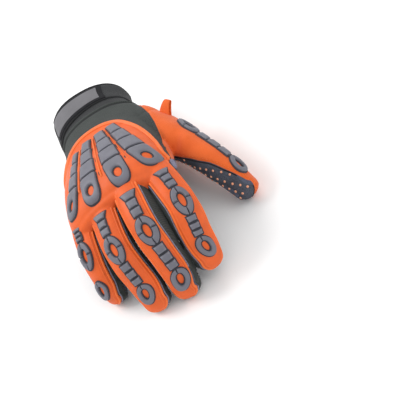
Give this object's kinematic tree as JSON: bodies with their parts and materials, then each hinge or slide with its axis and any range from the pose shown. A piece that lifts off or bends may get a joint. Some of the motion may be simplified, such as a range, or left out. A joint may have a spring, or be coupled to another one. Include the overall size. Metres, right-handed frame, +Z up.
{
  "type": "impact work glove",
  "caption": "Right-hand work glove lying on its palm, with an orange moulded back, grey rubber knuckle and finger guards, a leather palm and a strapped cuff.",
  "frame": {"origin": "middle of the glove's footprint, on the surface that it lies on", "axes": "+Z up, fingers towards -Y, cuff opening towards +Y, thumb towards +X"},
  "size_m": [0.1438, 0.2194, 0.0792],
  "materials": {
    "orange_rubber": "satin moulded rubber",
    "orange_stretch": "stretch knit",
    "grey_rubber": "satin moulded rubber",
    "leather": "matt synthetic leather with pale orange grip dots",
    "dark_knit": "matt knit",
    "strap_elastic": "ribbed elastic",
    "label": "satin moulded label, bare"
  },
  "bodies": {
    "root": {"cuff": "dark_knit", "palm": "leather", "back_panel": "orange_rubber", "yoke": "dark_knit", "index_back": "orange_rubber", "index_front": "leather", "middle_back": "orange_rubber", "middle_front": "leather", "ring_back": "orange_rubber", "ring_front": "leather", "little_back": "orange_rubber", "little_front": "leather", "thumb_back": "orange_stretch", "thumb_front": "leather", "index_guard": "grey_rubber", "middle_guard": "grey_rubber", "ring_guard": "grey_rubber", "little_guard": "grey_rubber", "thumb_guard": "grey_rubber", "index_knuckle": "grey_rubber", "middle_knuckle": "grey_rubber", "ring_knuckle": "grey_rubber", "little_knuckle": "grey_rubber", "wrist_strap": "strap_elastic", "strap_label": "label", "pull_tab": "orange_stretch"}
  },
  "joints": []
}
